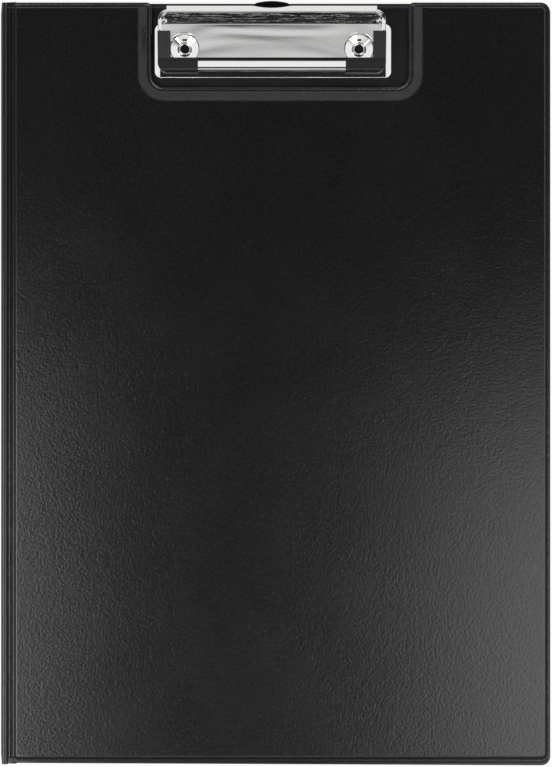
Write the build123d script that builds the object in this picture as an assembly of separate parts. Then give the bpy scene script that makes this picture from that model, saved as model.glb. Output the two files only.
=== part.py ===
from build123d import *
import os
from math import atan2, cos, hypot, pi, sin, tan

# A fold-over clipboard folder, closed and lying on its back cover. Millimetres.
# X runs from the spine to the fore-edge, Y towards the clip end, Z up.
# The origin is at the middle of the outline, on the surface that the folder lies on.

# Folder
folder_width = 232.7
back_length = 322.0
back_skew = 1.0  # the back cover's lower edge runs out of square by this at the fore-edge
board_thickness = 1.9
vinyl_thickness = 0.3
cover_gap = 1.2  # room for paper between the linings
corner_radius = 3.8
weld_width = 1.2  # flat welded rim outside the board
slope_width = 1.0  # run of the vinyl from the board's top down to the rim
board_clearance = 0.1
sheet_overlap = 1.0  # parts of one bent sheet run into each other by this
front_top_proud = 0.25
front_bottom_short = 0.95
front_side_short = 0.4

# Spine and fold strips
spine_radius = 1.45  # half of the spine's thickness
spine_vinyl_thickness = 0.4
spine_strip_end_gap = 2.0
fold_gap = 0.35  # between the spine and each cover
fold_strip_width = 3.3
ridge_width = 1.4
ridge_height = 0.6
strip_slope_width = 1.1

# Cut-out in the front cover, from the clip's base plate
cutout_left_gap = 1.3
cutout_right_gap = 7.5
cutout_bottom_gap = 4.0
cutout_corner_radius = 5.3
cutout_shoulder_radius = 2.2
cutout_board_setback = 4.0  # the board stops short of the sloping vinyl round the cut-out

# Pocket inside the front cover
pocket_thickness = 0.15
pocket_room = 0.15
pocket_margin = 3.0
pocket_weld = 2.0
pocket_height_spine_side = 165.0
pocket_height_fore_side = 205.0

# Clip
clip_offset_x = -1.75
base_offset_x = 0.45  # the base plate's middle from the jaw's
clip_setback = 31.55  # base plate's front edge, from the back cover's top edge
steel_thickness = 0.8
base_width = 100.0
base_body_depth = 22.6
base_tail_depth = 27.3
base_height = 1.8
base_rim_radius = 0.2
base_side_slope_width = 2.2  # the plate's sides slope down beside the jaw
base_side_slope_drop = 0.7
passage_depth = 3.0  # opening in the base plate's rear wall, for the hanging tab
base_corner_radius = 2.6
rivet_side_setback = 13.1
rivet_setback = 12.1
rivet_shank_radius = 2.3
rivet_bore_radius = 1.95
rivet_rim_radius = 2.65
rivet_rim_height = 0.8
rivet_rim_edge_radius = 0.33
rivet_head_radius = 4.0
rivet_head_height = 0.8
rivet_clearance = 0.05
dimple_top_radius = 5.9
dimple_bottom_radius = 3.0
slot_length = 2.0
slot_width = 0.8
slot_setback = 3.9  # behind the rivet

# Jaw, in the Y-Z plane from its front edge and from the base plate's top
jaw_setback = 2.5
jaw_side_gap = 2.4  # base plate beside the jaw
jaw_corner_radius = 3.4
jaw_floor_gap = 0.5
bead_height = 3.75  # where the front edge would meet the slope behind it
valley_distance = 4.6
valley_height = 2.3
flat_length = 14.7
flat_rear_height = 5.9
riser_run = 4.2
riser_rise = 5.5
lip_depth = 2.3
lip_rise = 0.8
lip_side_gap = 3.6
cheek_radius = 3.8
access_radius = 6.3
bead_radius = 1.4
valley_radius = 4.0
riser_foot_radius = 0.8
lip_radius = 1.2
notch_width = 14.0
notch_depth = 0.7

# Hinge pin and springs
pin_radius = 1.2
pin_setback = 23.0
pin_height = 2.8  # above the base plate's top
pin_clearance = 0.05
ear_radius = 2.0
lug_gap = 0.9  # between a base lug and the jaw's cheek
cheek_foot_height = 1.2  # the cheek's lower edge behind the pin, above the pin
wire_radius = 0.55
coil_clearance = 0.15
coil_turns = 8
coil_pitch = 1.65
spring_spread = 44.0
spring_end_gap = 0.05
spring_bend_radius = 1.4
spring_bend_height = 2.9  # corner of the upper leg, above the pin

# Corner guards
guard_wall = 0.6
guard_top = 0.7
guard_front_height = 1.65
guard_arm_length = 17.0
guard_side_width = 5.5
guard_front_width = 6.2
guard_floor_gap = 0.1
guard_corner_radius = 4.2

# Hanging tab
tab_showing = 0.9  # past the back cover's top edge
tab_travel = 12.0
tab_width = 15.0
tab_shoulder_width = 17.0
tab_shoulder_length = 1.6
tab_length = 22.0
tab_thickness = 0.8
tab_clearance = 0.1
tab_side_gap = 0.2
tab_tip_radius = 28.0
tab_corner_radius = 1.5
tab_hole_radius = 3.0
tab_hole_setback = 5.6
tab_grip_depth = 1.5
tab_grip_height = 1.6
rail_width = 0.8

# Places worked out from the sizes
cover_thickness = board_thickness + 2 * vinyl_thickness
folder_thickness = 2 * cover_thickness + cover_gap
x_left = -folder_width / 2
x_right = folder_width / 2
y_low = -(back_length + back_skew + tab_showing) / 2
y_bottom = y_low + back_skew
y_top = y_bottom + back_length
crown_inset = weld_width + vinyl_thickness
board_inset = crown_inset + slope_width + board_clearance
x_strip = x_left + 2 * spine_radius + fold_gap
x_board = x_strip + fold_strip_width
z_groove = cover_thickness - spine_radius  # fold axis, above the cover's inner face
z_back_fold = spine_radius
z_front_fold = folder_thickness - spine_radius

x_clip = clip_offset_x
x_base = x_clip + base_offset_x
y_clip = y_top - clip_setback
z_mount = cover_thickness
z_base = z_mount + base_height
y_rivet = y_clip + rivet_setback
x_rivets = (x_clip - base_width / 2 + rivet_side_setback, x_clip + base_width / 2 - rivet_side_setback)
y_jaw = y_clip + jaw_setback
y_pin = y_clip + pin_setback
z_pin = z_base + pin_height
y_tail = y_clip + base_tail_depth
jaw_width = base_width - 2 * jaw_side_gap
lip_width = jaw_width - 2 * lip_side_gap
cheek_inner = jaw_width / 2 - steel_thickness
lug_outer = cheek_inner - lug_gap
y_foot = y_jaw + valley_distance + flat_length
y_lip = y_foot + riser_run + lip_depth
z_over = z_base + flat_rear_height + riser_rise + lip_rise + sheet_overlap  # above all of the jaw
tab_tip = y_top + tab_showing
x_cutout = (x_base - base_width / 2 - cutout_left_gap, x_base + base_width / 2 + cutout_right_gap)
y_cutout = y_clip - cutout_bottom_gap
y_front = (y_bottom + front_bottom_short, y_top + front_top_proud)


def slab(face, z, height):
    """A flat outline raised from z by height."""
    return extrude(Plane.XY.offset(z) * face, height)


def block(x_range, y_range, z_range):
    """A box between two corners."""
    size = [b - a for a, b in (x_range, y_range, z_range)]
    middle = [(a + b) / 2 for a, b in (x_range, y_range, z_range)]
    return Pos(*middle) * Box(*size)


def rod_x(y, z, radius, x_range):
    """A round bar along X."""
    length = x_range[1] - x_range[0]
    place = Plane(((x_range[0] + x_range[1]) / 2, y, z), x_dir=(0, 1, 0), z_dir=(1, 0, 0))
    return place * Cylinder(radius, length)


def rod_z(x, y, radius, z_range):
    """A round bar along Z."""
    return Pos(x, y, (z_range[0] + z_range[1]) / 2) * Cylinder(radius, z_range[1] - z_range[0])


def rounded(face, corners, radius):
    """The outline with its corners nearest the given points rounded."""
    chosen = [min(face.vertices(), key=lambda v: hypot(v.X - x, v.Y - y)) for x, y in corners]
    return fillet(chosen, radius)


def cover_outline(
    y_range, skew, inset, x_start, side_short=0, cutout=False, least=vinyl_thickness, setback=0
):
    """A cover's outline, drawn in by inset on its three free sides, and by setback more at its cut-out."""
    x_end = x_right - side_short - inset
    low, high = y_range[0] + inset, y_range[1] - inset
    far_low = low - skew
    face = make_face(Polyline((x_start, low), (x_end, far_low), (x_end, high), (x_start, high), close=True))
    face = rounded(face, [(x_end, far_low), (x_end, high)], max(corner_radius - inset, least))
    if not cutout:
        return face
    step = inset + setback
    left, right = x_cutout[0] - step, x_cutout[1] + step
    floor = y_cutout - step
    above = high + cutout_corner_radius
    gap = make_face(
        Polyline((left, floor), (right, floor), (right, above), (left, above), close=True)
    )
    gap = rounded(gap, [(left, floor), (right, floor)], cutout_corner_radius + step)
    face = face - gap
    shoulder = max(cutout_shoulder_radius - step, least)
    return rounded(face, [(left, high), (right, high)], shoulder)


def raised_panel(outline, height, inset_step):
    """The panel over a board: straight foot, then a slope of slope_width to its flat top."""
    panel = slab(outline, 0, height)
    left = panel.bounding_box().min.X
    top_edges = panel.faces().sort_by(Axis.Z)[-1].edges()
    sloped = [e for e in top_edges if abs(e.center().X - left) > inset_step]
    return chamfer(sloped, slope_width)


def fold_section(offset):
    """Height of the fold strip's vinyl at its corners, from the fold axis, as (x, z) points."""
    groove = z_groove + offset
    middle = x_strip + (fold_strip_width - strip_slope_width) / 2
    half = ridge_width / 2
    ridge = [(middle - half, groove), (middle, groove + ridge_height), (middle + half, groove)]
    return [(x_strip, groove), *ridge, (x_board - strip_slope_width, groove)]


def fold_strip(lower, upper, y_range):
    """A sheet along the fold between two lines of (x, z) points."""
    face = make_face(Polyline(*lower, *reversed(upper), close=True))
    strip = extrude(Plane.XZ * face, y_range[1] - y_range[0])
    return Pos(0, y_range[1], 0) * strip


def cover(y_range, skew, side_short, cutout):
    """Outer vinyl, lining and board of one cover, lying with its inner face at z = 0."""
    shape = dict(y_range=y_range, skew=skew, side_short=side_short, cutout=cutout)
    overlap = board_inset
    top = cover_thickness
    under_top = top - vinyl_thickness
    rim = slab(cover_outline(inset=0, x_start=x_board, **shape), vinyl_thickness, vinyl_thickness)
    sloped = dict(least=slope_width + vinyl_thickness, **shape)
    crown = raised_panel(cover_outline(inset=weld_width, x_start=x_board, **sloped), top, overlap)
    crown = crown & block((x_left, x_right), (y_low, tab_tip), (vinyl_thickness, top))
    hollow_shape = cover_outline(inset=crown_inset, x_start=x_board - overlap, **sloped)
    hollow = raised_panel(hollow_shape, under_top, overlap)
    outer_low = [*fold_section(0), (x_board, under_top)]
    outer_high = [*fold_section(vinyl_thickness), (x_board, top)]
    outer = rim + crown - hollow + fold_strip(outer_low, outer_high, y_range)

    groove_end = (x_board - strip_slope_width + vinyl_thickness, z_groove)
    lining_high = [*fold_section(0), groove_end, (x_board, vinyl_thickness)]
    groove_foot = fold_section(-vinyl_thickness)
    lining_low = [groove_foot[0], groove_foot[-1], (x_board, 0)]
    lining = slab(cover_outline(inset=0, x_start=x_board, **shape), 0, vinyl_thickness)
    lining = lining + fold_strip(lining_low, lining_high, y_range)

    board_shape = cover_outline(
        inset=board_inset, x_start=x_board + board_clearance, setback=cutout_board_setback, **shape
    )
    board = slab(board_shape, vinyl_thickness, board_thickness)
    return outer, lining, board


def upside_down(shape):
    """The cover turned over in place, so its outer face is at z = 0."""
    return Pos(0, 0, cover_thickness) * mirror(shape, about=Plane.XY)


def front_cover():
    """The front cover's pieces, above the back cover."""
    outer, lining, board = cover(y_front, 0, front_side_short, True)
    lift = Pos(0, 0, folder_thickness - cover_thickness)
    return lift * outer, lift * lining, lift * board


def back_cover():
    """The back cover's pieces, with the holes that the clip's rivets go through."""
    outer, lining, board = (upside_down(s) for s in cover((y_bottom, y_top), back_skew, 0, False))
    for x in x_rivets:
        hole = rod_z(x, y_rivet, rivet_shank_radius + rivet_clearance, (0, cover_thickness))
        seat_depth = rivet_head_height + rivet_clearance
        seat = rod_z(x, y_rivet, rivet_head_radius + rivet_clearance, (0, seat_depth))
        outer, lining, board = outer - seat, lining - hole, board - hole - seat
    return outer, lining, board


def stadium(radius, y_range):
    """A bar of the spine's section: upright, with both ends round about the fold axes."""
    upright = Pos(x_left + spine_radius, folder_thickness / 2) * Rot(0, 0, 90)
    section = upright * SlotCenterToCenter(z_front_fold - z_back_fold, 2 * radius)
    return Pos(0, y_range[1], 0) * extrude(Plane.XZ * section, y_range[1] - y_range[0])


def spine():
    """The spine's strip and the vinyl on its two sides."""
    ends = (y_bottom, y_top)
    full = stadium(spine_radius, ends)
    core = stadium(spine_radius - spine_vinyl_thickness, ends)
    tube = full - core
    middle = x_left + spine_radius
    outer = tube & block((x_left, middle), ends, (0, folder_thickness))
    lining = tube & block((middle, middle + spine_radius), ends, (0, folder_thickness))
    strip_ends = (y_bottom + spine_strip_end_gap, y_top - spine_strip_end_gap)
    strip = stadium(spine_radius - spine_vinyl_thickness, strip_ends)
    return outer, lining, strip


def inside_pocket():
    """A vinyl pocket welded on three sides to the front cover's lining, open towards the clip."""
    z_lining = folder_thickness - cover_thickness
    left = x_board + pocket_margin
    right = x_right - front_side_short - pocket_margin
    low = y_front[0] + pocket_margin
    heights = (low + pocket_height_spine_side, low + pocket_height_fore_side)

    def shape(inset, reach):
        lower = [(left + inset, low + inset), (right - inset, low + inset)]
        upper = [(right - inset, heights[1] + reach), (left + inset, heights[0] + reach)]
        return make_face(Polyline(*lower, *upper, close=True))

    sheet = slab(shape(0, 0), z_lining - pocket_room - pocket_thickness, pocket_room + pocket_thickness)
    return sheet - slab(shape(pocket_weld, pocket_weld), z_lining - pocket_room, pocket_room)


def plan_rounded(x_half, y_range, radius, rear_radius=0, x_middle=x_clip):
    """A rectangle about a centre line with rounded front corners."""
    x = (x_middle - x_half, x_middle + x_half)
    face = make_face(
        Polyline((x[0], y_range[0]), (x[1], y_range[0]), (x[1], y_range[1]), (x[0], y_range[1]), close=True)
    )
    face = rounded(face, [(x[0], y_range[0]), (x[1], y_range[0])], radius)
    if rear_radius:
        face = rounded(face, [(x[0], y_range[1]), (x[1], y_range[1])], rear_radius)
    return face


def base_shell(step):
    """The base plate's outer form, or its hollow when drawn in by the steel's thickness."""
    body = plan_rounded(
        base_width / 2 - step, (y_clip + step, y_clip + base_body_depth - step), base_corner_radius - step,
        base_corner_radius - step, x_base,
    )
    shell = slab(body, z_mount, base_height - step)
    if step >= base_rim_radius:
        return shell
    return fillet(shell.faces().sort_by(Axis.Z)[-1].edges(), base_rim_radius - step)


def side_wedge(side):
    """What the slope at one side of the base plate takes off its flat top."""
    x_edge = x_base + side * base_width / 2
    x_crest = x_edge - side * base_side_slope_width
    face = make_face(
        Polyline((x_crest, z_base), (x_edge, z_base - base_side_slope_drop), (x_edge, z_base), close=True)
    )
    wedge = extrude(Plane.XZ * face, base_body_depth)
    return Pos(0, y_clip + base_body_depth, 0) * wedge


def base_plate():
    """Pressed base plate: rim turned down on the board, dimples at the rivets, a tail with two lugs."""
    y_shoulder = y_clip + base_body_depth
    y_plate = (y_clip + base_rim_radius, y_shoulder)
    tail_start = y_shoulder - base_rim_radius
    tail = block(
        (x_clip - lug_outer, x_clip + lug_outer), (tail_start, y_tail), (z_base - steel_thickness, z_base)
    )
    passage = block(
        (x_clip - lug_outer + steel_thickness, x_clip + lug_outer - steel_thickness),
        (y_shoulder - passage_depth, y_tail), (z_mount, z_base - steel_thickness),
    )
    outside = base_shell(0) - side_wedge(-1) - side_wedge(1)
    plate = outside - base_shell(steel_thickness) - passage + tail
    for side in (-1, 1):
        wall = sorted((x_clip + side * lug_outer, x_clip + side * (lug_outer - steel_thickness)))
        lug = block(wall, (y_pin - ear_radius, y_pin + ear_radius), (z_mount, z_pin))
        lug = lug + rod_x(y_pin, z_pin, ear_radius, wall)
        foot = block(wall, (tail_start, y_tail), (z_mount, z_base))
        plate = plate + lug + foot
        plate = plate - rod_x(y_pin, z_pin, pin_radius + pin_clearance, wall)
        plate = plate + tab_rail(side)
    slope = (dimple_top_radius - dimple_bottom_radius) / (base_height - steel_thickness)
    upper_radius = dimple_bottom_radius + slope * base_height
    for x in x_rivets:
        cone = Cone(dimple_bottom_radius, upper_radius, base_height)
        cup = Pos(x, y_rivet, z_mount + base_height / 2) * cone
        inner = Pos(0, 0, steel_thickness) * cup
        hole = rod_z(x, y_rivet, rivet_shank_radius + rivet_clearance, (z_mount, z_base))
        y_slot = (y_rivet + slot_setback - slot_width / 2, y_rivet + slot_setback + slot_width / 2)
        slot = block((x - slot_length / 2, x + slot_length / 2), y_slot, (z_mount, z_base))
        within = block((x - upper_radius, x + upper_radius), y_plate, (z_mount, z_base))
        plate = plate + (cup & within) - inner - hole - slot
    return plate


def tab_rail(side):
    """One side of the hanging tab's channel, with the stop that keeps the tab's shoulder in."""
    inner = tab_shoulder_width / 2 + tab_side_gap
    mouth = tab_width / 2 + tab_side_gap
    y_stop = tab_tip - tab_length + tab_shoulder_length + tab_travel
    heights = (z_mount, z_base - steel_thickness)
    x_rail = sorted((x_clip + side * inner, x_clip + side * (inner + rail_width)))
    x_stop = sorted((x_clip + side * mouth, x_clip + side * (inner + rail_width)))
    rail = block(x_rail, (tab_tip - tab_length, y_tail), heights)
    return rail + block(x_stop, (y_stop, y_tail), heights)


def hanger_tab():
    """The pull-out hanging tab, pushed in, with only its curved tip past the cover's edge."""
    y_tail_end = tab_tip - tab_length
    z = z_mount + tab_clearance
    half, shoulder = tab_width / 2, tab_shoulder_width / 2
    sagitta = tab_tip_radius - (tab_tip_radius**2 - half**2) ** 0.5
    outline = Polyline(
        (x_clip - half, tab_tip - sagitta),
        (x_clip - half, y_tail_end + tab_shoulder_length),
        (x_clip - shoulder, y_tail_end + tab_shoulder_length),
        (x_clip - shoulder, y_tail_end),
        (x_clip + shoulder, y_tail_end),
        (x_clip + shoulder, y_tail_end + tab_shoulder_length),
        (x_clip + half, y_tail_end + tab_shoulder_length),
        (x_clip + half, tab_tip - sagitta),
    )
    left, right = (x_clip - half, tab_tip - sagitta), (x_clip + half, tab_tip - sagitta)
    tip = ThreePointArc(right, (x_clip, tab_tip), left)
    face = make_face(outline.edges() + tip.edges())
    face = rounded(face, [left, right], tab_corner_radius)
    tab = slab(face, z, tab_thickness)
    grip_span = block(
        (x_clip - half, x_clip + half), (tab_tip - tab_grip_depth, tab_tip), (z, z + tab_grip_height)
    )
    grip = slab(face, z, tab_grip_height) & grip_span
    hole = rod_z(x_clip, tab_tip - tab_hole_setback, tab_hole_radius, (z, z + tab_thickness))
    return tab + grip - hole


def rivet(x):
    """Semi-tubular rivet: flat head sunk in the back, rolled rim on the base plate's dimple."""
    z_seat = z_mount + steel_thickness
    head = rod_z(x, y_rivet, rivet_head_radius, (rivet_clearance, rivet_head_height))
    shank = rod_z(x, y_rivet, rivet_shank_radius, (rivet_clearance, z_seat + rivet_rim_height))
    rim = rod_z(x, y_rivet, rivet_rim_radius, (z_seat, z_seat + rivet_rim_height))
    bore = rod_z(x, y_rivet, rivet_bore_radius, (rivet_head_height, z_seat + rivet_rim_height))
    body = head + shank + rim - bore
    return fillet(body.edges().group_by(Axis.Z)[-1], rivet_rim_edge_radius)


def jaw_line():
    """Corners and radii of the jaw's upper surface, from its front edge to the end of its lip."""
    flat_rear = (y_foot, z_base + flat_rear_height)
    lip_front = (y_foot + riser_run, flat_rear[1] + riser_rise)
    points = [
        (y_jaw, z_base + jaw_floor_gap),
        (y_jaw, z_base + bead_height),
        (y_jaw + valley_distance, z_base + valley_height),
        flat_rear,
        lip_front,
        (lip_front[0] + lip_depth, lip_front[1] + lip_rise),
    ]
    return points, [bead_radius, valley_radius, riser_foot_radius, lip_radius]


def parallel(points, gap):
    """The corners of a line that runs at gap to the right of the given one."""
    ways = [atan2(b[1] - a[1], b[0] - a[0]) for a, b in zip(points, points[1:])]
    moved = [(points[0][0] + gap * sin(ways[0]), points[0][1] - gap * cos(ways[0]))]
    for point, way_in, way_out in zip(points[1:], ways, ways[1:]):
        turn = way_out - way_in
        middle = (way_in + way_out) / 2
        reach = gap / cos(turn / 2)
        moved.append((point[0] + reach * sin(middle), point[1] - reach * cos(middle)))
    moved.append((points[-1][0] + gap * sin(ways[-1]), points[-1][1] - gap * cos(ways[-1])))
    return moved


def offset_line(gap):
    """The jaw's surface line moved to the right by gap, with its bends kept concentric."""
    points, radii = jaw_line()
    ways = [atan2(b[1] - a[1], b[0] - a[0]) for a, b in zip(points, points[1:])]
    turns = [b - a for a, b in zip(ways, ways[1:])]
    bends = [r + gap if turn > 0 else r - gap for r, turn in zip(radii, turns)]
    return FilletPolyline(*parallel(points, gap), radius=[max(b, 0) for b in bends])


def under_line(line, y_end, z_floor):
    """The region between a line in the Y-Z plane and a floor."""
    start, end = line @ 0, line @ 1
    corners = Polyline((end.X, end.Y), (end.X, z_floor), (start.X, z_floor), (start.X, start.Y))
    face = make_face(line.edges() + corners.edges())
    span = make_face(Polyline((0, z_floor), (y_end, z_floor), (y_end, z_over), (0, z_over), close=True))
    return face & span


def across(face, x_half):
    """A section in the Y-Z plane widened to both sides of the clip's centre line."""
    return Pos(x_clip - x_half, 0, 0) * extrude(Plane.YZ * face, 2 * x_half)


def jaw_sheet():
    """The jaw's bent sheet at the width of its lip."""
    outer, inner = offset_line(0), offset_line(steel_thickness)
    ends = [Line(outer @ 1, inner @ 1), Line(inner @ 0, outer @ 0)]
    face = make_face(outer.edges() + inner.edges() + [e for line in ends for e in line.edges()])
    return across(face, lip_width / 2)


def jaw_tray():
    """The jaw's flat part with its front and side walls turned down."""
    half = jaw_width / 2
    floor = z_base + jaw_floor_gap
    outside = across(under_line(offset_line(0), y_foot, z_base), half)
    outside = outside & slab(plan_rounded(half, (y_jaw, y_foot), jaw_corner_radius), floor, z_over - floor)
    y_hollow = y_foot + sheet_overlap
    hollow = across(under_line(offset_line(steel_thickness), y_hollow, z_base), half - steel_thickness)
    inner_plan = plan_rounded(
        half - steel_thickness, (y_jaw + steel_thickness, y_hollow), jaw_corner_radius - steel_thickness
    )
    return outside - (hollow & slab(inner_plan, floor, z_over - floor))


def jaw_cheek(side):
    """A side wall behind the flat part: an ear at the pin, and a cheek that curves in to the lip's end."""
    half = jaw_width / 2
    y_start = y_foot - sheet_overlap
    z_cheek = z_pin + cheek_foot_height
    centre = (x_clip + side * (half - cheek_radius), y_pin)

    def quarter(radius):
        angle = pi / 4
        middle = (centre[0] + side * radius * cos(angle), centre[1] + radius * sin(angle))
        return ThreePointArc((centre[0] + side * radius, centre[1]), middle, (centre[0], centre[1] + radius))

    outer, inner = quarter(cheek_radius), quarter(cheek_radius - steel_thickness)
    walls = [
        Line((x_clip + side * half, y_start), outer @ 0),
        Line(outer @ 1, inner @ 1),
        Line(inner @ 0, (x_clip + side * (half - steel_thickness), y_start)),
        Line((x_clip + side * (half - steel_thickness), y_start), (x_clip + side * half, y_start)),
    ]
    face = make_face(outer.edges() + inner.edges() + [e for wall in walls for e in wall.edges()])
    cheek = slab(face, z_cheek, z_over - z_cheek)
    cheek = cheek & across(under_line(offset_line(0), y_tail, z_base), half)
    x_wall = sorted((x_clip + side * half, x_clip + side * (half - steel_thickness)))
    ear = block(x_wall, (y_start, y_pin), (z_base + jaw_floor_gap, z_cheek))
    boss = rod_x(y_pin, z_pin, ear_radius, x_wall)
    return cheek + ear + boss


def jaw():
    """The lever: sheet, tray and cheeks, with access holes, pin holes and the lip's thumb notch."""
    lever = jaw_sheet() + jaw_tray() + jaw_cheek(-1) + jaw_cheek(1)
    reach = (x_clip - jaw_width, x_clip + jaw_width)
    lever = lever - rod_x(y_pin, z_pin, pin_radius + pin_clearance, reach)
    for x in x_rivets:
        lever = lever - rod_z(x, y_rivet, access_radius, (z_base, z_base + flat_rear_height))
    notch_radius = (notch_width**2 / 4 + notch_depth**2) / (2 * notch_depth)
    return lever - rod_z(x_clip, y_lip - notch_depth + notch_radius, notch_radius, (z_base, z_over))


def guard(side, lever):
    """A corner guard: an L-shaped sleeve over the jaw's front corner, hollow underneath."""
    half = jaw_width / 2 + guard_wall
    y_guard = y_jaw - guard_wall

    def corner_plan(step):
        x_out, x_arm = x_clip + side * (half - step), x_clip + side * (half - guard_side_width + step)
        x_end = x_clip + side * (half - guard_arm_length + step)
        y_arm, y_end = y_guard + guard_front_width - step, y_guard + guard_arm_length - step
        y_out = y_guard + step
        side_arm = [(x_out, y_out), (x_out, y_end), (x_arm, y_end)]
        front_arm = [(x_arm, y_arm), (x_end, y_arm), (x_end, y_out)]
        face = make_face(Polyline(*side_arm, *front_arm, close=True))
        return rounded(face, [(x_out, y_out)], guard_corner_radius - step)

    z_floor = z_base + guard_floor_gap
    column = slab(corner_plan(0), z_floor, z_over - z_floor)
    body = across(under_line(offset_line(-guard_top), y_foot, z_floor), half) & column
    front = block((x_clip - half, x_clip + half), (y_guard, y_jaw), (z_floor, z_base + guard_front_height))
    body = body + (front & column)
    under = across(under_line(offset_line(steel_thickness), y_foot, z_mount), half)
    under = under & slab(corner_plan(2 * guard_wall + steel_thickness), z_mount, z_over - z_mount)
    return body - lever - under


def biarc(start, way_in, end, way_out):
    """Two arcs that join smoothly from start to end, along way_in and way_out."""
    span = end - start
    ways = way_in + way_out
    a = 2 * (way_in.dot(way_out) - 1)
    b = -2 * span.dot(ways)
    c = span.dot(span)
    reach = (-b - (b * b - 4 * a * c) ** 0.5) / (2 * a)
    first, last = start + way_in * reach, end - way_out * reach
    joint = (first + last) / 2
    return [
        Edge.make_tangent_arc(start, way_in, joint),
        Edge.make_tangent_arc(joint, (last - first).normalized(), end),
    ]


def spring_path(x_start):
    """Both legs and the coil of a jaw spring, one after another."""
    radius = pin_radius + coil_clearance + wire_radius
    steps = 4 * coil_turns
    rise = coil_pitch / (2 * pi * radius)
    up = Vector(0, 0, 1)

    def station(k):
        angle = k * pi / 2
        place = Vector(x_start + coil_pitch * k / 4, y_pin + radius * cos(angle), z_pin + radius * sin(angle))
        way = Vector(rise, -sin(angle), cos(angle)).normalized()
        return place, (up if k in (0, steps) else way)

    foot, crown = station(0)[0], station(steps)[0]
    edges = [Edge.make_line((foot.X, foot.Y, z_base + spring_end_gap), foot)]
    for k in range(steps):
        edges += biarc(*station(k), *station(k + 1))

    way = atan2(riser_rise, riser_run)
    square = Vector(0, -sin(way), cos(way))
    corner = Vector(crown.X, crown.Y, z_pin + spring_bend_height)
    run_in = spring_bend_radius * tan(way / 2)
    bend_start, bend_end = corner - up * run_in, corner + square * run_in
    riser_point = Vector(crown.X, y_foot, z_base + flat_rear_height)
    reach = (riser_point - corner).dot(square) - steel_thickness - spring_end_gap
    edges += [
        Edge.make_line(crown, bend_start),
        Edge.make_tangent_arc(bend_start, up, bend_end),
        Edge.make_line(bend_end, corner + square * reach),
    ]
    return Wire(edges)


def least_gap(path, samples_per_turn=24):
    """The least clear distance of the wire to itself, on points more than half a turn apart."""
    count = (coil_turns + 2) * samples_per_turn
    points = [path.position_at(i / count) for i in range(count + 1)]
    step = path.length / count
    apart = int(pi * (pin_radius + coil_clearance + wire_radius) / step) + 1
    gaps = [
        (points[i] - points[j]).length for i in range(count + 1) for j in range(i + apart, count + 1)
    ]
    return min(gaps) - 2 * wire_radius


def jaw_spring():
    """The left torsion spring round the hinge pin."""
    path = spring_path(x_clip - spring_spread / 2 - coil_pitch * coil_turns / 2)
    section = Plane(path @ 0, z_dir=path % 0) * Circle(wire_radius)
    spring = sweep(section, path=path)
    expected = pi * wire_radius**2 * path.length
    print("spring gap", round(least_gap(path), 3), "volume share", round(spring.volume / expected, 4))
    return spring


def hinge_pin():
    """The rod through the base plate's lugs and the jaw's ears."""
    return rod_x(y_pin, z_pin, pin_radius, (x_clip - jaw_width / 2, x_clip + jaw_width / 2))


def main():
    """Makes every piece and writes each to its own file."""
    lever = jaw()
    spring = jaw_spring()
    pieces = dict(zip(("front_outer_vinyl", "front_lining", "front_board"), front_cover()))
    pieces.update(zip(("back_outer_vinyl", "back_lining", "back_board"), back_cover()))
    pieces.update(zip(("spine_outer_vinyl", "spine_lining", "spine_strip"), spine()))
    pieces["inside_pocket"] = inside_pocket()
    pieces["clip_base_plate"] = base_plate()
    pieces["clip_jaw"] = lever
    pieces["hinge_pin"] = hinge_pin()
    pieces["left_jaw_spring"] = spring
    pieces["right_jaw_spring"] = mirror(spring, about=Plane.YZ.offset(x_clip))
    pieces["left_corner_guard"] = guard(-1, lever)
    pieces["right_corner_guard"] = guard(1, lever)
    pieces["left_rivet"] = rivet(x_rivets[0])
    pieces["right_rivet"] = rivet(x_rivets[1])
    pieces["hanger_tab"] = hanger_tab()
    os.makedirs("parts", exist_ok=True)
    for name, shape in pieces.items():
        export_step(shape, f"parts/{name}.step")


main()
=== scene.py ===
import math
from collections import namedtuple

import bmesh
import bpy
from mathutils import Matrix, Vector

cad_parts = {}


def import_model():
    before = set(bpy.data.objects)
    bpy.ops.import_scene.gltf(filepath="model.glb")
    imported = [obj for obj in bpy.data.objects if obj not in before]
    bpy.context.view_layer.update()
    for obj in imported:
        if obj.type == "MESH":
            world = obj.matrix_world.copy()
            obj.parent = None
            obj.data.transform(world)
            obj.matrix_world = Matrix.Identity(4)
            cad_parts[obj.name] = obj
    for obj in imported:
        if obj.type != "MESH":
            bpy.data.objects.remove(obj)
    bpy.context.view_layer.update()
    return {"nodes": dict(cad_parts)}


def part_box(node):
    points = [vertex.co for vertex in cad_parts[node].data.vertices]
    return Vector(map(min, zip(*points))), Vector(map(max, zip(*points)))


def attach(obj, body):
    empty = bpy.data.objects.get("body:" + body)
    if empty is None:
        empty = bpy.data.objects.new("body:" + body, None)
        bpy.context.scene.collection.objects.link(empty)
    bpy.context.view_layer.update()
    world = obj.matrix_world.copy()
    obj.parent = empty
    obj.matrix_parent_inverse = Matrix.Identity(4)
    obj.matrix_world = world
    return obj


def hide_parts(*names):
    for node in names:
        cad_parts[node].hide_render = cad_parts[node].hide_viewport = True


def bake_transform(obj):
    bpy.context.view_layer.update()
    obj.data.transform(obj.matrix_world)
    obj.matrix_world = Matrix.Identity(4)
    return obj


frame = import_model()

# A closed fold-over clipboard folder, seen from straight above. Metres.
# X runs from the spine to the fore-edge, Y towards the clip end, Z up.
MM = 0.001

# Camera: one metre above the folder's middle
image_width_px = 552
scale_px_per_mm = 2.352
camera_height = 1.0
sensor_width_mm = 36.0
nearest_seen = 10 * MM

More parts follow.
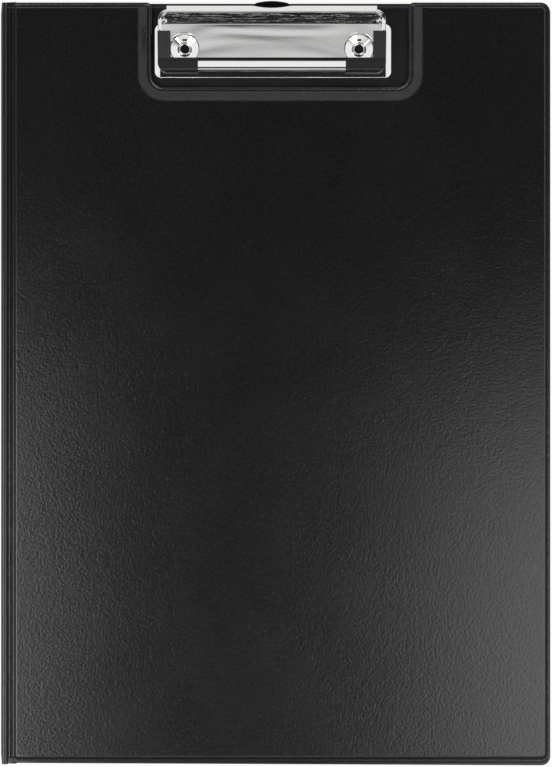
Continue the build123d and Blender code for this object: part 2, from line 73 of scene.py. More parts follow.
# Studio walls: how far a direction leans to the foot, the head or a side, and how bright it is there
foot_levels = (
    (0.0, 0.012), (0.28, 0.02), (0.315, 0.5), (0.345, 0.68), (0.48, 0.88), (0.57, 0.9),
    (0.59, 0.03), (0.73, 0.03), (0.75, 0.7), (0.87, 0.7), (0.89, 0.02),
)
head_levels = ((0.0, 0.012), (0.38, 0.03), (0.5, 0.85), (0.85, 0.85), (0.95, 0.4))
side_levels = ((0.0, 0.0), (0.42, 0.0), (0.57, 0.95))

# Lamps and floor
lamp_height = 0.47
floor_half_size = 3.0
floor_drop = 0.4 * MM
floor_glow = 0.9  # share of plain white that the camera and mirrors see in place of the lit floor

# Vinyl
vinyl_thickness = 0.3 * MM
corner_radius = 3.8 * MM
back_skew = 1.0 * MM
weld_width = 1.2 * MM
edge_slope = 1.3 * MM
notch_slope = 5.2 * MM
notch_left_gap = 1.3 * MM
notch_right_gap = 7.5 * MM
notch_bottom_gap = 4.0 * MM
notch_corner_radius = 5.3 * MM
shoulder_radius = 2.2 * MM
least_radius = 0.15 * MM
rim_bead = 0.17 * MM
fold_width = 3.3 * MM
fold_slope = 1.1 * MM
fold_step = 0.1 * MM
ridge_width = 1.4 * MM
ridge_height = 0.6 * MM
groove_depth = 1.15 * MM
end_pinch = 0.22  # the spine narrows by this share at its ends
end_pinch_length = 5.0 * MM
crease_angle = math.radians(40)
# The outer vinyl's rolled weld: share of its width, height over the rim in beads
weld_section = ((0.0, -0.5), (0.12, 0.3), (0.35, 1.0), (0.55, 0.85), (0.8, 0.15), (1.0, -0.5))
# The lining's pressed edge: share of the weld's width, height over the plate
pressed_section = ((0.0, 0.06 * MM), (0.1, 0), (0.9, 0), (1.0, 0.08 * MM), (1.15, 0), (2.0, 0))

# Mesh steps
hair = 0.001 * MM
same_place = 0.1 * hair
cell = 9.0 * MM
flat_border = 0.5 * MM
end_rows = (1.5 * MM, 3.5 * MM)
edge_runs = (26, 36)  # divisions of a cover's foot and fore-edge
head_runs = (26,)  # of a plain head
notch_runs = (9, 6, 16, 6, 9)  # of a head with the cut-out
seat_sides = 64
roll_sides = 48

# Clip
rivet_seat_radius = 4.05 * MM
rivet_seat_depth = 1.0 * MM
rivet_roll_inner = 1.98 * MM
rivet_roll_outer = 2.72 * MM
rivet_roll_drop = 0.21 * MM
rivet_roll_height = 0.5 * MM
cheek_radius = 3.8 * MM
cheek_reach = 4.1 * MM
cheek_wall = 0.86 * MM
cheek_height = 2.6 * MM
cheek_edge_width = 1.5 * MM
cheek_edge_drop = 0.85 * MM
cheek_edge_thickness = 0.35 * MM
cheek_inner_round = (0.12 * MM, 0.1 * MM)
cheek_outer_round = (0.15 * MM, 0.2 * MM)
cheek_inner_step = 0.45 * MM
cheek_clearance = 0.3 * MM
lip_depth = 2.3 * MM
lip_rise = 0.8 * MM
riser_run = 4.2 * MM
riser_rise = 5.5 * MM

# Springs
wire_radius = 0.55 * MM
wire_sides = 14
wire_end_reach = 0.35  # the rounded end goes this share of the radius past the last point
wire_end_share = 0.6  # and narrows to this share of the radius
coil_clearance = 0.15 * MM
coil_turns = 8
coil_steps = 28
coil_pitch = 1.65 * MM
leg_corner_height = 2.9 * MM
leg_bend_start = 1.0 * MM
leg_bend_middle = Vector((0, -0.1, -0.35)) * MM
leg_bend_rest = (0.6 * MM, 1.2 * MM)
leg_share = 0.75  # the upper leg goes this share of the way to the CAD spring's top

# Places worked out from the frame
spine_low, spine_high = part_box("spine_outer_vinyl")
front_low, front_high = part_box("front_outer_vinyl")
back_low, back_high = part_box("back_outer_vinyl")
base_low, base_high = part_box("clip_base_plate")
jaw_low, jaw_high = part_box("clip_jaw")
pin_low, pin_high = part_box("hinge_pin")
folder_thickness = spine_high.z
spine_radius = spine_high.x - spine_low.x
x_fold = spine_high.x
x_strip = front_low.x
x_board = x_strip + fold_width
z_fold = folder_thickness - spine_radius
pin = (pin_low + pin_high) / 2
notch = {
    "left": base_low.x - notch_left_gap,
    "right": base_high.x + notch_right_gap,
    "floor": base_low.y - notch_bottom_gap,
}


Cover = namedtuple("Cover", "low high skew x_end has_notch")


def smooth(t):
    """Eases from 0 to 1."""
    t = min(max(t, 0.0), 1.0)
    return t * t * (3 - 2 * t)


def spread(a, b, count):
    """count values from a to b."""
    return [a + (b - a) * i / (count - 1) for i in range(count)]


def arc(centre_x, centre_y, radius, start_deg, end_deg, count=9):
    """Points along an arc."""
    angles = [math.radians(a) for a in spread(start_deg, end_deg, count)]
    return [(centre_x + radius * math.cos(a), centre_y + radius * math.sin(a)) for a in angles]


def straight(a, b, count):
    """Points inside a straight run, without its ends."""
    return [(a[0] + (b[0] - a[0]) * i / count, a[1] + (b[1] - a[1]) * i / count) for i in range(1, count)]


def link(name, data):
    """A new object in the scene."""
    piece = bpy.data.objects.new(name, data)
    bpy.context.scene.collection.objects.link(piece)
    return piece


class Sheet:
    """A mesh under construction, in which equal corners are shared."""

    def __init__(self, flip=False):
        self.mesh = bmesh.new()
        self.corners = {}
        self.flip = flip

    def corner(self, x, y, z):
        """The corner at a place, turned over with the back cover."""
        place = (x, y, folder_thickness - z if self.flip else z)
        key = tuple(round(value / same_place) for value in place)
        if key not in self.corners:
            self.corners[key] = self.mesh.verts.new(place)
        return self.corners[key]

    def face(self, corners):
        """A face between corners, left out where it has no width."""
        distinct = [c for i, c in enumerate(corners) if c is not corners[i - 1]]
        if len(distinct) < 3:
            return None
        return self.mesh.faces.new(distinct)

    def strip(self, row_a, row_b):
        """Quads between two rows of corners."""
        for a0, a1, b1, b0 in zip(row_a, row_a[1:], row_b[1:], row_b):
            self.face([a0, a1, b1, b0])

    def orient(self, upwards):
        """Makes the faces agree, with the widest one facing up or down."""
        bmesh.ops.remove_doubles(self.mesh, verts=self.mesh.verts, dist=hair)
        bmesh.ops.recalc_face_normals(self.mesh, faces=self.mesh.faces)
        widest = max(self.mesh.faces, key=lambda f: f.calc_area())
        if (widest.normal.z > 0) != upwards:
            bmesh.ops.reverse_faces(self.mesh, faces=self.mesh.faces)

    def make(self, name):
        """The finished object, with smooth shading."""
        data = bpy.data.meshes.new(name)
        self.mesh.to_mesh(data)
        self.mesh.free()
        for polygon in data.polygons:
            polygon.use_smooth = True
        return link(name, data)


def solid(name, sections, ring=False):
    """A closed form through sections of places: a ring of them, or a run with capped ends."""
    sheet = Sheet()
    rows = []
    for section in sections:
        row = [sheet.corner(*place) for place in section]
        rows.append(row + row[:1])
    following = rows[1:] + rows[:1] if ring else rows[1:]
    for a, b in zip(rows, following):
        sheet.strip(a, b)
    if not ring:
        sheet.face(rows[0][:-1])
        sheet.face(rows[-1][:-1])
    bmesh.ops.recalc_face_normals(sheet.mesh, faces=sheet.mesh.faces)
    return sheet.make(name)


def sharpen(piece):
    """Shows a piece's creases as edges."""
    piece.data.set_sharp_from_angle(angle=crease_angle)


def cover_ring(shape, inset, notch_inset):
    """One line round a cover at an inset, from the fold's lower end to its upper end."""
    right = shape.x_end - inset
    top = shape.high - inset

    def bottom(x):
        return shape.low + inset - shape.skew * (x - x_board) / (shape.x_end - x_board)

    radius = max(corner_radius - inset, least_radius)
    parts = [
        [(x_board, bottom(x_board))],
        arc(right - radius, bottom(right) + radius, radius, -90, 0),
        arc(right - radius, top - radius, radius, 0, 90),
    ]
    if shape.has_notch:
        shoulder = max(shoulder_radius - notch_inset, least_radius)
        hollow = notch_corner_radius + notch_inset
        left, far = notch["left"] - notch_inset, notch["right"] + notch_inset
        floor_y = notch["floor"] - notch_inset
        parts += [
            arc(far + shoulder, top - shoulder, shoulder, 90, 180),
            arc(far - hollow, floor_y + hollow, hollow, 0, -90),
            arc(left + hollow, floor_y + hollow, hollow, -90, -180),
            arc(left - shoulder, top - shoulder, shoulder, 0, 90),
        ]
    parts.append([(x_board, top)])
    ring = list(parts[0])
    for part, count in zip(parts[1:], edge_runs + (notch_runs if shape.has_notch else head_runs)):
        ring += straight(ring[-1], part[0], count) + part
    return ring


def profile_rings(z_rim, z_top):
    """Insets and heights across a welded edge: rolled rim, pressed line, slope to the board's top."""
    rows = []
    for share, rise in weld_section:
        rows.append((share * weld_width, share * weld_width, z_rim + rise * rim_bead))
    z_line = rows[-1][2]
    for t in spread(0, 1, count=11)[1:]:
        height = z_line + (z_top - z_line) * smooth(t)
        rows.append((weld_width + t * edge_slope, weld_width + t * notch_slope, height))
    last = rows[-1]
    return [*rows, (last[0] + flat_border, last[1] + flat_border, last[2])]


def fold_profile(groove, z_board):
    """The fold strip's section from the board towards the spine, as (x, z)."""
    slope = spread(0, 1, count=9)
    rows = [(x_board - t * fold_slope, z_board + (groove - z_board) * smooth(t)) for t in slope]
    middle = x_strip + (fold_width - fold_slope) / 2
    for x in spread(x_board - fold_slope, x_strip, count=14)[1:]:
        across = min(abs(x - middle) / (ridge_width / 2), 1)
        rows.append((x, groove + ridge_height * (1 + math.cos(math.pi * across)) / 2))
    return rows


def outer_profile():
    """Section of the outer vinyl from the board to the middle of the spine."""
    groove = folder_thickness - groove_depth
    rows = fold_profile(groove, folder_thickness)
    flank = math.asin((groove + fold_step - z_fold) / spine_radius)
    for angle in spread(flank, math.pi, count=22):
        rows.append((x_fold + spine_radius * math.cos(angle), z_fold + spine_radius * math.sin(angle)))
    rows.append((x_fold - spine_radius, folder_thickness / 2))
    return rows


def lining_profile(z_plate):
    """Section of the lining from the board to the middle of the spine's inner side."""
    groove = z_fold - vinyl_thickness
    slope = spread(0, 1, count=7)
    rows = [(x_board - t * fold_slope, z_plate + (groove - z_plate) * smooth(t)) for t in slope]
    rows += [(x, groove) for x in spread(x_board - fold_slope, x_strip, count=5)[1:]]
    start = math.asin((groove - fold_step - z_fold) / spine_radius)
    for angle in spread(start, 0, count=3):
        height = z_fold - abs(spine_radius * math.sin(angle))
        rows.append((x_fold + spine_radius * math.cos(angle), height))
    rows.append((x_fold + spine_radius, folder_thickness / 2))
    return rows


def spine_place(x, y, z, low, high):
    """Where a corner of the spine's section goes: drawn in towards the fold line at the ends."""
    ends = min(y - low, high - y)
    pinch = 1 - end_pinch * (1 - smooth(ends / end_pinch_length))
    if z > folder_thickness / 2:
        z = z_fold + (z - z_fold) * pinch
    return x_fold + (x - x_fold) * pinch, z


def cover_sheet(name, shape, edge, section, flip, upwards):
    """A cover's vinyl: welded edge, flat panel, fold strip and half of the spine."""
    low, high = shape.low, shape.high
    sheet = Sheet(flip)
    rings = []
    for inset, notch_inset, z in edge:
        rings.append([sheet.corner(x, y, z) for x, y in cover_ring(shape, inset, notch_inset)])
    for outer, inner in zip(rings, rings[1:]):
        sheet.strip(outer, inner)
    z_first, (inset, _, z_top) = edge[0][2], edge[-1]
    near, far = (inset + row for row in end_rows)
    middle_rows = spread(low + cell, high - cell, round((high - low) / cell))
    rows_y = [low + near, low + far, *middle_rows, high - far, high - near]
    cut_panel(sheet, sheet.face(rings[-1]), rows_y)
    rows = [(low + i, z) for i, _, z in edge] + [(y, z_top) for y in rows_y]
    rows += [(high - i, z) for i, _, z in reversed(edge)]
    columns = []
    for x, z in section:
        share = smooth((x_board - x) / (x_board - x_fold + spine_radius))
        column = []
        for y, z_row in rows:
            place_x, height = x, z_first + (z - z_first) * (z_row - z_first) / (z_top - z_first)
            if x < x_strip - hair:
                place_x, height = spine_place(x, y, z, low, high)
            y_spine = spine_low.y + (y - low) * (spine_high.y - spine_low.y) / (high - low)
            column.append(sheet.corner(place_x, y + (y_spine - y) * share, height))
        columns.append(column)
    for a, b in zip(columns, columns[1:]):
        sheet.strip(b, a)
    sheet.orient(upwards)
    return sheet.make(name)


def cut_panel(sheet, panel, rows_y):
    """Cuts the flat panel into cells, along the same rows as the fold strip."""
    corners = [v.co for v in panel.verts]
    z = corners[0].z
    left, right = min(c.x for c in corners), max(c.x for c in corners)
    columns_x = [left + flat_border, *spread(left, right, round((right - left) / cell))[1:-1]]
    faces = [panel]
    for x in columns_x:
        faces = cut(sheet.mesh, faces, (x, 0, z), (1, 0, 0))
    for y in rows_y:
        faces = cut(sheet.mesh, faces, (0, y, z), (0, 1, 0))


def cut(mesh, faces, point, normal):
    """Cuts the given faces with a plane and returns the faces after the cut."""
    verts = {v for f in faces for v in f.verts}
    edges = {e for f in faces for e in f.edges}
    parts = list(verts) + list(edges) + faces
    result = bmesh.ops.bisect_plane(mesh, geom=parts, dist=same_place, plane_co=point, plane_no=normal)
    return [g for g in result["geom"] if isinstance(g, bmesh.types.BMFace)]


def keep_modifiers(piece):
    """Writes a piece's modifiers into its mesh."""
    graph = bpy.context.evaluated_depsgraph_get()
    data = bpy.data.meshes.new_from_object(piece.evaluated_get(graph))
    piece.modifiers.clear()
    piece.data = data


def add_thickness(piece):
    """Gives a sheet its thickness on its inner side, as real mesh."""
    modifier = piece.modifiers.new("thickness", "SOLIDIFY")
    modifier.thickness = vinyl_thickness
    modifier.offset = -1
    keep_modifiers(piece)


def cut_rivet_seats(skin):
    """Cuts the holes that the rivets' heads sit in, through the back cover's outer vinyl."""
    cutter = bmesh.new()
    for rivet in ("left_rivet", "right_rivet"):
        low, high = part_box(rivet)
        middle = (low + high) / 2
        made = bmesh.ops.create_cone(
            cutter, cap_ends=True, segments=seat_sides, radius1=rivet_seat_radius,
            radius2=rivet_seat_radius, depth=2 * rivet_seat_depth,
        )
        bmesh.ops.translate(cutter, verts=made["verts"], vec=(middle.x, middle.y, 0))
    data = bpy.data.meshes.new("rivet_seats")
    cutter.to_mesh(data)
    cutter.free()
    tool = link("rivet_seats", data)
    modifier = skin.modifiers.new("seats", "BOOLEAN")
    modifier.operation = "DIFFERENCE"
    modifier.object = tool
    keep_modifiers(skin)
    bpy.data.objects.remove(tool)


def wire(name, path):
    """A closed round wire along points, with rounded ends."""
    points = [Vector(p) for p in path]
    turns = [2 * math.pi * k / wire_sides for k in range(wire_sides)]
    side = Vector((0.3, 0.5, 0.8))  # any direction that the path doesn't take
    sections = []
    for i, point in enumerate(points):
        way = (points[min(i + 1, len(points) - 1)] - points[max(i - 1, 0)]).normalized()
        side = side.cross(way).cross(way).normalized()
        up = way.cross(side)
        ends = [(0.0, 1.0)]
        if i == 0:
            ends.insert(0, (-wire_end_reach, wire_end_share))
        if i == len(points) - 1:
            ends.append((wire_end_reach, wire_end_share))
        for shift, share in ends:
            centre, radius = point + way * shift * wire_radius, wire_radius * share
            sections.append([centre + radius * (side * math.cos(a) + up * math.sin(a)) for a in turns])
    return solid(name, sections)


def spring_path(side):
    """The wire's middle line: a leg on the base plate, the coil round the pin, a leg under the riser."""
    low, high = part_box("left_jaw_spring" if side < 0 else "right_jaw_spring")
    radius = (pin_high.y - pin_low.y) / 2 + coil_clearance + wire_radius
    x_outer = low.x + wire_radius if side < 0 else high.x - wire_radius
    points = [(x_outer, pin.y + radius, z) for z in spread(low.z, pin.z, count=6)[:-1]]
    for angle in spread(0, 2 * math.pi * coil_turns, coil_steps * coil_turns + 1):
        x = x_outer - side * coil_pitch * angle / (2 * math.pi)
        points.append((x, pin.y + radius * math.cos(angle), pin.z + radius * math.sin(angle)))
    x_inner = points[-1][0]
    square = Vector((0, -riser_rise, riser_run)).normalized()
    corner = Vector((x_inner, pin.y + radius, pin.z + leg_corner_height))
    points += [(x_inner, corner.y, z) for z in spread(pin.z, corner.z - leg_bend_start, count=4)[1:]]
    reach = (high.z - corner.z + wire_radius * square.y) / square.z
    leg = [corner + square * way for way in (*leg_bend_rest, leg_share * reach)]
    return [*points, corner + leg_bend_middle, *leg]


def cheek_path(side):
    """The cheek's upper edge in plan and height: beside the flat part, then round to the lip's end."""
    middle, half = (jaw_low.x + jaw_high.x) / 2, (jaw_high.x - jaw_low.x) / 2
    radius = cheek_radius - cheek_wall / 2
    plan = [(half - cheek_wall / 2, y) for y in spread(pin.y - cheek_reach, pin.y, count=9)[:-1]]
    plan += arc(half - cheek_radius, pin.y, radius, 0, 90, count=16)
    steps = [math.dist(a, b) for a, b in zip(plan, plan[1:])]
    z_lip = jaw_high.z - lip_rise
    y_lip = jaw_high.y - lip_depth
    path = []
    for i, (x, y) in enumerate(plan):
        steady = riser_rise * (1 - sum(steps[:i]) / sum(steps))
        beside_riser = riser_rise * max(y_lip - y, 0) / riser_run - cheek_clearance
        path.append(Vector((middle + side * x, y, z_lip - min(steady, beside_riser))))
    return path


def cheek_roll(name, side):
    """One cheek's wall, whose upper edge is rolled outwards and slopes down."""
    wall, edge = cheek_wall / 2, cheek_edge_width / 2
    inner, outer = cheek_inner_round, cheek_outer_round
    under = -cheek_edge_drop - cheek_edge_thickness
    profile = [
        (-edge, -inner[1]), (-edge + inner[0], 0),
        (edge - outer[0], -cheek_edge_drop), (edge, -cheek_edge_drop - outer[1]), (edge - outer[1], under),
        (wall, under), (wall, -cheek_height), (-wall, -cheek_height), (-wall, -cheek_inner_step),
    ]
    path = cheek_path(side)
    sections = []
    for i, point in enumerate(path):
        way = path[min(i + 1, len(path) - 1)] - path[max(i - 1, 0)]
        outward = Vector((way.y, -way.x, 0)).normalized() * side
        sections.append([point + outward * out + Vector((0, 0, up)) for out, up in profile])
    piece = solid(name, sections)
    sharpen(piece)
    return piece


def rivet_roll(name, rivet):
    """The rolled rim round a rivet's bore."""
    low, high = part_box(rivet)
    middle, top = (low + high) / 2, high.z + hair
    profile = [
        (rivet_roll_inner, top - rivet_roll_height), (rivet_roll_inner, top),
        (rivet_roll_outer, top - rivet_roll_drop), (rivet_roll_outer, top - rivet_roll_height),
    ]
    sections = []
    for angle in spread(0, 2 * math.pi, roll_sides + 1)[:-1]:
        x, y = math.cos(angle), math.sin(angle)
        sections.append([(middle.x + x * radius, middle.y + y * radius, z) for radius, z in profile])
    piece = solid(name, sections, ring=True)
    sharpen(piece)
    return piece


def node(tree, kind, **inputs):
    """A shader node with some inputs set, by name."""
    made = tree.nodes.new(kind)
    for name, value in inputs.items():
        made.inputs[name.replace("_", " ")].default_value = value
    return made


def surface(name, colour, roughness, metallic=0.0, **sockets):
    """A material with one principled shader."""
    material = bpy.data.materials.new(name)
    material.use_nodes = True
    shader = material.node_tree.nodes["Principled BSDF"]
    shader.inputs["Base Color"].default_value = (*colour, 1)
    shader.inputs["Roughness"].default_value = roughness
    shader.inputs["Metallic"].default_value = metallic
    for key, value in sockets.items():
        shader.inputs[key.replace("_", " ")].default_value = value
    return material, material.node_tree, shader


def place(tree, scale=(1, 1, 1)):
    """Object coordinates, stretched by scale."""
    coords = tree.nodes.new("ShaderNodeTexCoord")
    mapping = tree.nodes.new("ShaderNodeMapping")
    mapping.inputs["Scale"].default_value = scale
    tree.links.new(coords.outputs["Object"], mapping.inputs["Vector"])
    return mapping.outputs["Vector"]


def noise_at(tree, vector, scale, detail=2.0, rough=0.5, distortion=0.0):
    """A noise texture's value, with scale in marks a metre."""
    texture = node(
        tree, "ShaderNodeTexNoise", Scale=scale, Detail=detail, Roughness=rough, Distortion=distortion
    )
    tree.links.new(vector, texture.inputs["Vector"])
    return texture.outputs["Fac"]


def between(tree, value, low, high, from_low=0.0, from_high=1.0):
    """The value spread to a new range."""
    remap = node(tree, "ShaderNodeMapRange")
    for socket, number in zip(list(remap.inputs)[1:5], (from_low, from_high, low, high)):
        socket.default_value = number
    tree.links.new(value, remap.inputs["Value"])
    return remap.outputs["Result"]


def bump(tree, shader, height, distance, below=None):
    """Raises the surface by a height value."""
    made = node(tree, "ShaderNodeBump", Strength=1.0, Distance=distance)
    tree.links.new(height, made.inputs["Height"])
    if below:
        tree.links.new(below, made.inputs["Normal"])
    tree.links.new(made.outputs["Normal"], shader.inputs["Normal"])
    return made.outputs["Normal"]


def maths(tree, operation, *values):
    """A maths node on values or numbers."""
    made = tree.nodes.new("ShaderNodeMath")
    made.operation = operation
    for socket, value in zip(made.inputs, values):
        if isinstance(value, (int, float)):
            socket.default_value = value
        else:
            tree.links.new(value, socket)
    return made.outputs[0]


def ramp(tree, value, stops):
    """Grey levels along a value, from (position, level) stops."""
    made = tree.nodes.new("ShaderNodeValToRGB")
    elements = made.color_ramp.elements
    while len(elements) > 1:
        elements.remove(elements[-1])
    elements[0].position, elements[0].color = stops[0][0], (stops[0][1],) * 3 + (1,)
    for position, level in stops[1:]:
        elements.new(position).color = (level, level, level, 1)
    tree.links.new(value, made.inputs["Fac"])
    return made.outputs["Color"]


def vinyl(name, grey, grain_depth, rough_low, rough_high):
    """Fine-grained semi-gloss black vinyl, slightly flecked."""
    material, tree, shader = surface(name, (grey, grey, grey), rough_low, IOR=1.5)
    vector = place(tree)
    patches = noise_at(tree, vector, 30, detail=3.0)
    rough = between(tree, patches, rough_low, rough_high, from_low=0.3, from_high=0.7)
    tree.links.new(rough, shader.inputs["Roughness"])
    flecks = noise_at(tree, vector, 1000, rough=0.7)
    shade = ramp(tree, flecks, [(0.36, 0.65 * grey), (0.64, 1.4 * grey)])
    tree.links.new(shade, shader.inputs["Base Color"])
    pebbles = bump(tree, shader, noise_at(tree, vector, 1200), grain_depth)
    bump(tree, shader, noise_at(tree, vector, 2600, detail=1.0), 0.25 * grain_depth, pebbles)
    return material


def chrome(name, colour, roughness):
    """Bright plated steel: softly wavy along the clip, with drawn lines on its steep faces."""
    material, tree, shader = surface(name, colour, roughness, metallic=1.0)
    vector = place(tree, scale=(0.3, 1, 1))
    rough = between(tree, noise_at(tree, vector, 400), 0.7 * roughness, 1.5 * roughness)
    tree.links.new(rough, shader.inputs["Roughness"])
    swell = noise_at(tree, vector, 48, detail=1.0, distortion=1.4)
    waves = bump(tree, shader, swell, 0.26 * MM)
    parts = tree.nodes.new("ShaderNodeSeparateXYZ")
    tree.links.new(tree.nodes.new("ShaderNodeTexCoord").outputs["Normal"], parts.inputs["Vector"])
    steep = between(tree, parts.outputs["Z"], 1.0, 0.0, from_low=0.62, from_high=0.8)
    streaks = noise_at(tree, place(tree, scale=(0.05, 1, 1)), 900)
    drawn = bump(tree, shader, maths(tree, "MULTIPLY", streaks, steep), 0.12 * MM, waves)
    bump(tree, shader, noise_at(tree, place(tree), 900), 0.004 * MM, drawn)
    return material


def plain(name, colour, roughness, grain, depth, metallic=0.0):
    """A finely textured material."""
    material, tree, shader = surface(name, colour, roughness, metallic)
    shade = noise_at(tree, place(tree), grain, detail=3.0, rough=0.6)
    rough = between(tree, shade, roughness - 0.06, roughness + 0.06)
    tree.links.new(rough, shader.inputs["Roughness"])
    bump(tree, shader, shade, depth)
    return material


def ribbed_rubber(name, colour):
    """Soft black rubber with fine ribs along the guard's side arm."""
    material, tree, shader = surface(name, colour, roughness=0.42, Specular_IOR_Level=0.3)
    vector = place(tree)
    ribs = node(tree, "ShaderNodeTexWave", Scale=290.0, Distortion=0.4, Detail=1.0)
    ribs.bands_direction = "X"
    tree.links.new(vector, ribs.inputs["Vector"])
    rough = between(tree, noise_at(tree, vector, 700, detail=3.0), 0.38, 0.5)
    tree.links.new(rough, shader.inputs["Roughness"])
    ribbed = bump(tree, shader, ribs.outputs["Fac"], 0.09 * MM)
    bump(tree, shader, noise_at(tree, vector, 900), 0.03 * MM, ribbed)
    return material


def dress(material, *names):
    """Gives CAD nodes a material."""
    for name in names:
        piece = frame["nodes"][name]
        piece.data.materials.clear()
        piece.data.materials.append(material)


def camera():
    """The camera, straight above the folder's middle."""
    data = bpy.data.cameras.new("camera")
    data.sensor_fit = "HORIZONTAL"
    data.sensor_width = sensor_width_mm
    seen_width = image_width_px / scale_px_per_mm * MM
    data.lens = sensor_width_mm * camera_height / seen_width
    data.clip_start = nearest_seen
    piece = link("camera", data)
    piece.location = (0, 0, camera_height)
    bpy.context.scene.camera = piece


def soft_box(name, low, high, radiance):
    """A rectangular lamp that faces straight down, given by its corners in plan."""
    data = bpy.data.lights.new(name, "AREA")
    data.shape = "RECTANGLE"
    data.size, data.size_y = high[0] - low[0], high[1] - low[1]
    data.energy = radiance * math.pi * data.size * data.size_y
    piece = link(name, data)
    piece.location = ((low[0] + high[0]) / 2, (low[1] + high[1]) / 2, lamp_height)
    piece.visible_camera = False


def world():
    """A pale studio: dark overhead, bright walls, with a dark gap in the wall at the folder's foot."""
    scene = bpy.context.scene
    scene.world = bpy.data.worlds.new("world")
    scene.world.use_nodes = True
    tree = scene.world.node_tree
    background = tree.nodes["Background"]
    background.inputs["Color"].default_value = (1, 1, 1, 1)
    coords = tree.nodes.new("ShaderNodeTexCoord")
    parts = tree.nodes.new("ShaderNodeSeparateXYZ")
    tree.links.new(coords.outputs["Generated"], parts.inputs["Vector"])
    east, north = parts.outputs["X"], parts.outputs["Y"]
    foot = ramp(tree, maths(tree, "MULTIPLY", north, -1.0), foot_levels)
    head = ramp(tree, north, head_levels)
    northward = maths(tree, "MAXIMUM", north, 0.0)
    squares = [maths(tree, "MULTIPLY", way, way) for way in (east, northward)]
    sides = ramp(tree, maths(tree, "SQRT", maths(tree, "ADD", *squares)), side_levels)
    level = maths(tree, "MAXIMUM", maths(tree, "MAXIMUM", foot, head), sides)
    tree.links.new(level, background.inputs["Strength"])


def floor():
    """A plain white floor that keeps a faint shadow."""
    sheet = bmesh.new()
    bmesh.ops.create_grid(sheet, x_segments=1, y_segments=1, size=floor_half_size)
    data = bpy.data.meshes.new("floor")
    sheet.to_mesh(data)
    sheet.free()
    piece = link("floor", data)
    piece.location = (0, 0, -floor_drop)
    material = bpy.data.materials.new("floor_white")
    material.use_nodes = True
    tree = material.node_tree
    tree.nodes.remove(tree.nodes["Principled BSDF"])
    output = tree.nodes["Material Output"]
    diffuse = node(tree, "ShaderNodeBsdfDiffuse", Color=(0.8, 0.8, 0.8, 1))
    glow = node(tree, "ShaderNodeEmission", Color=(1, 1, 1, 1), Strength=1.0)
    path = tree.nodes.new("ShaderNodeLightPath").outputs
    mirrored = maths(tree, "MAXIMUM", path["Is Glossy Ray"], path["Is Transmission Ray"])
    seen = maths(tree, "MAXIMUM", path["Is Camera Ray"], mirrored)
    mix = tree.nodes.new("ShaderNodeMixShader")
    tree.links.new(maths(tree, "MULTIPLY", seen, floor_glow), mix.inputs["Fac"])
    tree.links.new(diffuse.outputs[0], mix.inputs[1])
    tree.links.new(glow.outputs[0], mix.inputs[2])
    tree.links.new(mix.outputs[0], output.inputs["Surface"])
    data.materials.append(material)


def covers(outer_material, inner_material):
    """The vinyl of both covers, each with its half of the spine, blended over the folds."""
    front_shape = Cover(front_low.y, front_high.y, skew=0.0, x_end=front_high.x, has_notch=True)
    back_shape = Cover(back_low.y + back_skew, back_high.y, back_skew, back_high.x, has_notch=False)
    z_plate = folder_thickness - (front_high.z - front_low.z) - vinyl_thickness
    edge = profile_rings(z_plate + 2 * vinyl_thickness, folder_thickness)
    pressed = [(share * weld_width, share * weld_width, z_plate + rise) for share, rise in pressed_section]
    section, lining_section = outer_profile(), lining_profile(z_plate)
    for cover, shape, flip in (("front", front_shape, False), ("back", back_shape, True)):
        skin = cover_sheet(f"{cover}_cover_vinyl", shape, edge, section, flip, not flip)
        lining = cover_sheet(f"{cover}_cover_lining", shape, pressed, lining_section, flip, flip)
        for piece, material, slot in (
            (skin, outer_material, "black_vinyl"),
            (lining, inner_material, "black_lining"),
        ):
            add_thickness(piece)
            if flip and piece is skin:
                cut_rivet_seats(piece)
            sharpen(piece)
            piece.data.materials.clear()
            piece.data.materials.append(material)
            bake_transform(piece)
        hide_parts(f"{cover}_outer_vinyl", "spine_outer_vinyl")
        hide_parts(f"{cover}_lining")


def springs(material):
    """Both torsion springs, each a wire from a leg on the base plate round the pin to a leg under the
    riser.
    """
    for side, word in ((-1, "left"), (1, "right")):
        path = spring_path(side)
        piece = wire(f"{word}_torsion_spring", path)
        piece.data.materials.append(material)
        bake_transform(piece)
        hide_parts(f"{word}_jaw_spring")


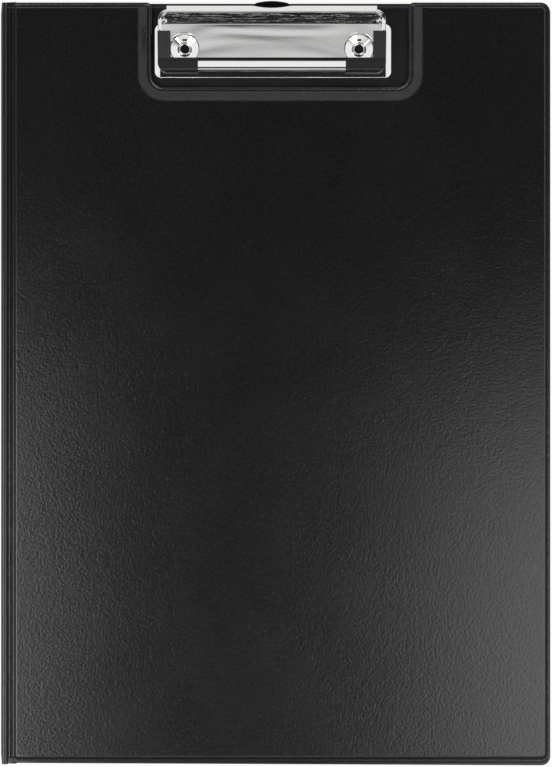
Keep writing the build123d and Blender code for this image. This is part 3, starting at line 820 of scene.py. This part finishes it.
def clip_edges(material):
    """The rolled upper edges of the jaw's cheeks, and the rolled rims of both rivets."""
    for side, word in ((-1, "left"), (1, "right")):
        cheek = cheek_roll(f"{word}_cheek_roll", side)
        rim = rivet_roll(f"{word}_rivet_roll", f"{word}_rivet")
        for piece, body in ((cheek, "jaw"), (rim, "back_cover")):
            piece.data.materials.append(material)
            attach(piece, body)


camera()
world()
floor()
soft_box("right_box", low=(0.114, -0.42), high=(0.5, -0.02), radiance=3.1)
soft_box("left_box", low=(-0.55, -0.42), high=(-0.191, 0.015), radiance=4.9)

outer_vinyl = vinyl("black_vinyl", 0.0055, grain_depth=0.11 * MM, rough_low=0.215, rough_high=0.25)
lining_vinyl = vinyl("black_lining", 0.005, grain_depth=0.03 * MM, rough_low=0.3, rough_high=0.38)
pocket_vinyl = vinyl("pocket_vinyl", 0.006, grain_depth=0.03 * MM, rough_low=0.25, rough_high=0.3)
plating = (0.86, 0.86, 0.85)
steel = chrome("chrome", plating, roughness=0.06)
edge_steel = plain("chrome_edge", plating, roughness=0.14, grain=300, depth=0.002 * MM, metallic=1.0)
wire_grey = (0.45, 0.45, 0.46)
spring_steel = plain("spring_steel", wire_grey, roughness=0.3, grain=900, depth=0.01 * MM, metallic=1.0)
rubber = ribbed_rubber("guard_rubber", (0.006, 0.006, 0.0065))
tab_plastic = plain("tab_plastic", (0.006, 0.006, 0.006), roughness=0.22, grain=500, depth=0.01 * MM)
greyboard = plain("greyboard", (0.35, 0.33, 0.3), roughness=0.85, grain=300, depth=0.1 * MM)

covers(outer_vinyl, lining_vinyl)
springs(spring_steel)
clip_edges(edge_steel)
dress(outer_vinyl, "front_outer_vinyl", "back_outer_vinyl", "spine_outer_vinyl")
dress(lining_vinyl, "front_lining", "back_lining", "spine_lining")
dress(pocket_vinyl, "inside_pocket")
dress(greyboard, "front_board", "back_board", "spine_strip")
dress(steel, "clip_base_plate", "clip_jaw", "hinge_pin", "left_rivet", "right_rivet")
dress(spring_steel, "left_jaw_spring", "right_jaw_spring")
dress(rubber, "left_corner_guard", "right_corner_guard")
dress(tab_plastic, "hanger_tab")

bpy.context.scene.view_settings.view_transform = "Standard"
